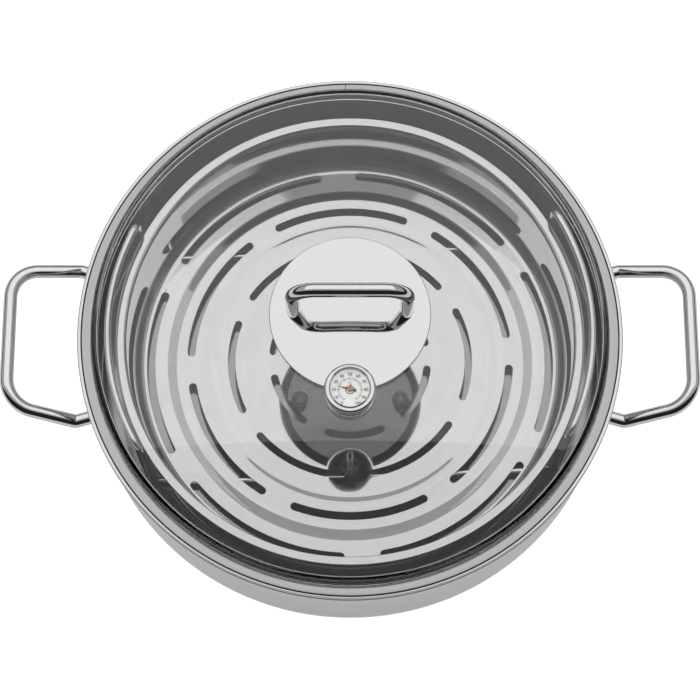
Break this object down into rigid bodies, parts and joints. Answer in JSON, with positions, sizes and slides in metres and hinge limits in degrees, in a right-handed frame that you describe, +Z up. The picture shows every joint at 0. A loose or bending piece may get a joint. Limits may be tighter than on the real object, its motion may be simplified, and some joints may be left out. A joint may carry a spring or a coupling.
{
  "type": "steam canning pot",
  "caption": "Shallow steel steam canning pot with side handles, a domed glass lid with a dial thermometer, and a perforated lift-out tray in a wire rack.",
  "frame": {"origin": "middle of the base's underside", "axes": "+Z up along the pot's axis, X from side handle to side handle, -Y to the front, where the lid carries its thermometer"},
  "size_m": [0.4004, 0.3108, 0.1524],
  "materials": {
    "brushed_steel_shell": "fine circular brushing, satin",
    "base_aluminium": "rolled, dull",
    "polished_steel_rod": "polished",
    "satin_steel_tray": "bright pressed steel",
    "satin_steel_band": "satin",
    "polished_steel_disc": "polished with fine turning lines",
    "fastener_steel": "plain",
    "gauge_steel": "polished",
    "clear_glass": "clear, very slightly grey",
    "gauge_glass": "clear",
    "silicone": "matte",
    "dial_white": "satin white with a black scale",
    "copper_needle": "copper coloured, satin"
  },
  "bodies": {
    "pot": {"pot_body": "brushed_steel_shell", "base_core": "base_aluminium", "base_cap": "brushed_steel_shell", "side_handle_left": "polished_steel_rod", "side_handle_right": "polished_steel_rod", "handle_pad_1": "brushed_steel_shell", "handle_pad_2": "brushed_steel_shell", "handle_pad_3": "brushed_steel_shell", "handle_pad_4": "brushed_steel_shell"},
    "rack": {"rack_wire": "polished_steel_rod"},
    "tray": {"insert_tray": "satin_steel_tray"},
    "lid": {"lid_glass": "clear_glass", "lid_band": "satin_steel_band", "lid_edge_seal": "silicone", "lid_disc": "polished_steel_disc", "lid_disc_gasket": "silicone", "lid_handle": "polished_steel_rod", "lid_handle_screw_1": "fastener_steel", "lid_handle_screw_2": "fastener_steel", "screw_washer_1": "silicone", "screw_washer_2": "silicone", "thermometer_case": "gauge_steel", "thermometer_dial": "dial_white", "thermometer_lens": "gauge_glass", "thermometer_gasket": "silicone", "thermometer_washer": "silicone", "thermometer_nut": "fastener_steel", "thermometer_stem": "gauge_steel", "bimetal_coil": "copper_needle"},
    "pointer": {"thermometer_pointer": "copper_needle"}
  },
  "joints": [
    {"name": "rack_lift", "type": "slide", "parent": "pot", "child": "rack", "axis": [0, 0, 1], "range_m": [0, 0.12]},
    {"name": "tray_lift", "type": "slide", "parent": "rack", "child": "tray", "axis": [0, 0, 1], "range_m": [0, 0.08]},
    {"name": "lid_lift", "type": "slide", "parent": "tray", "child": "lid", "axis": [0, 0, 1], "range_m": [0, 0.15]},
    {"name": "pointer_turn", "type": "hinge", "parent": "lid", "child": "pointer", "pos_m": [0, -0.0456, 0.1143], "axis": [0, 0, 1], "range_deg": [-225, 75]}
  ]
}
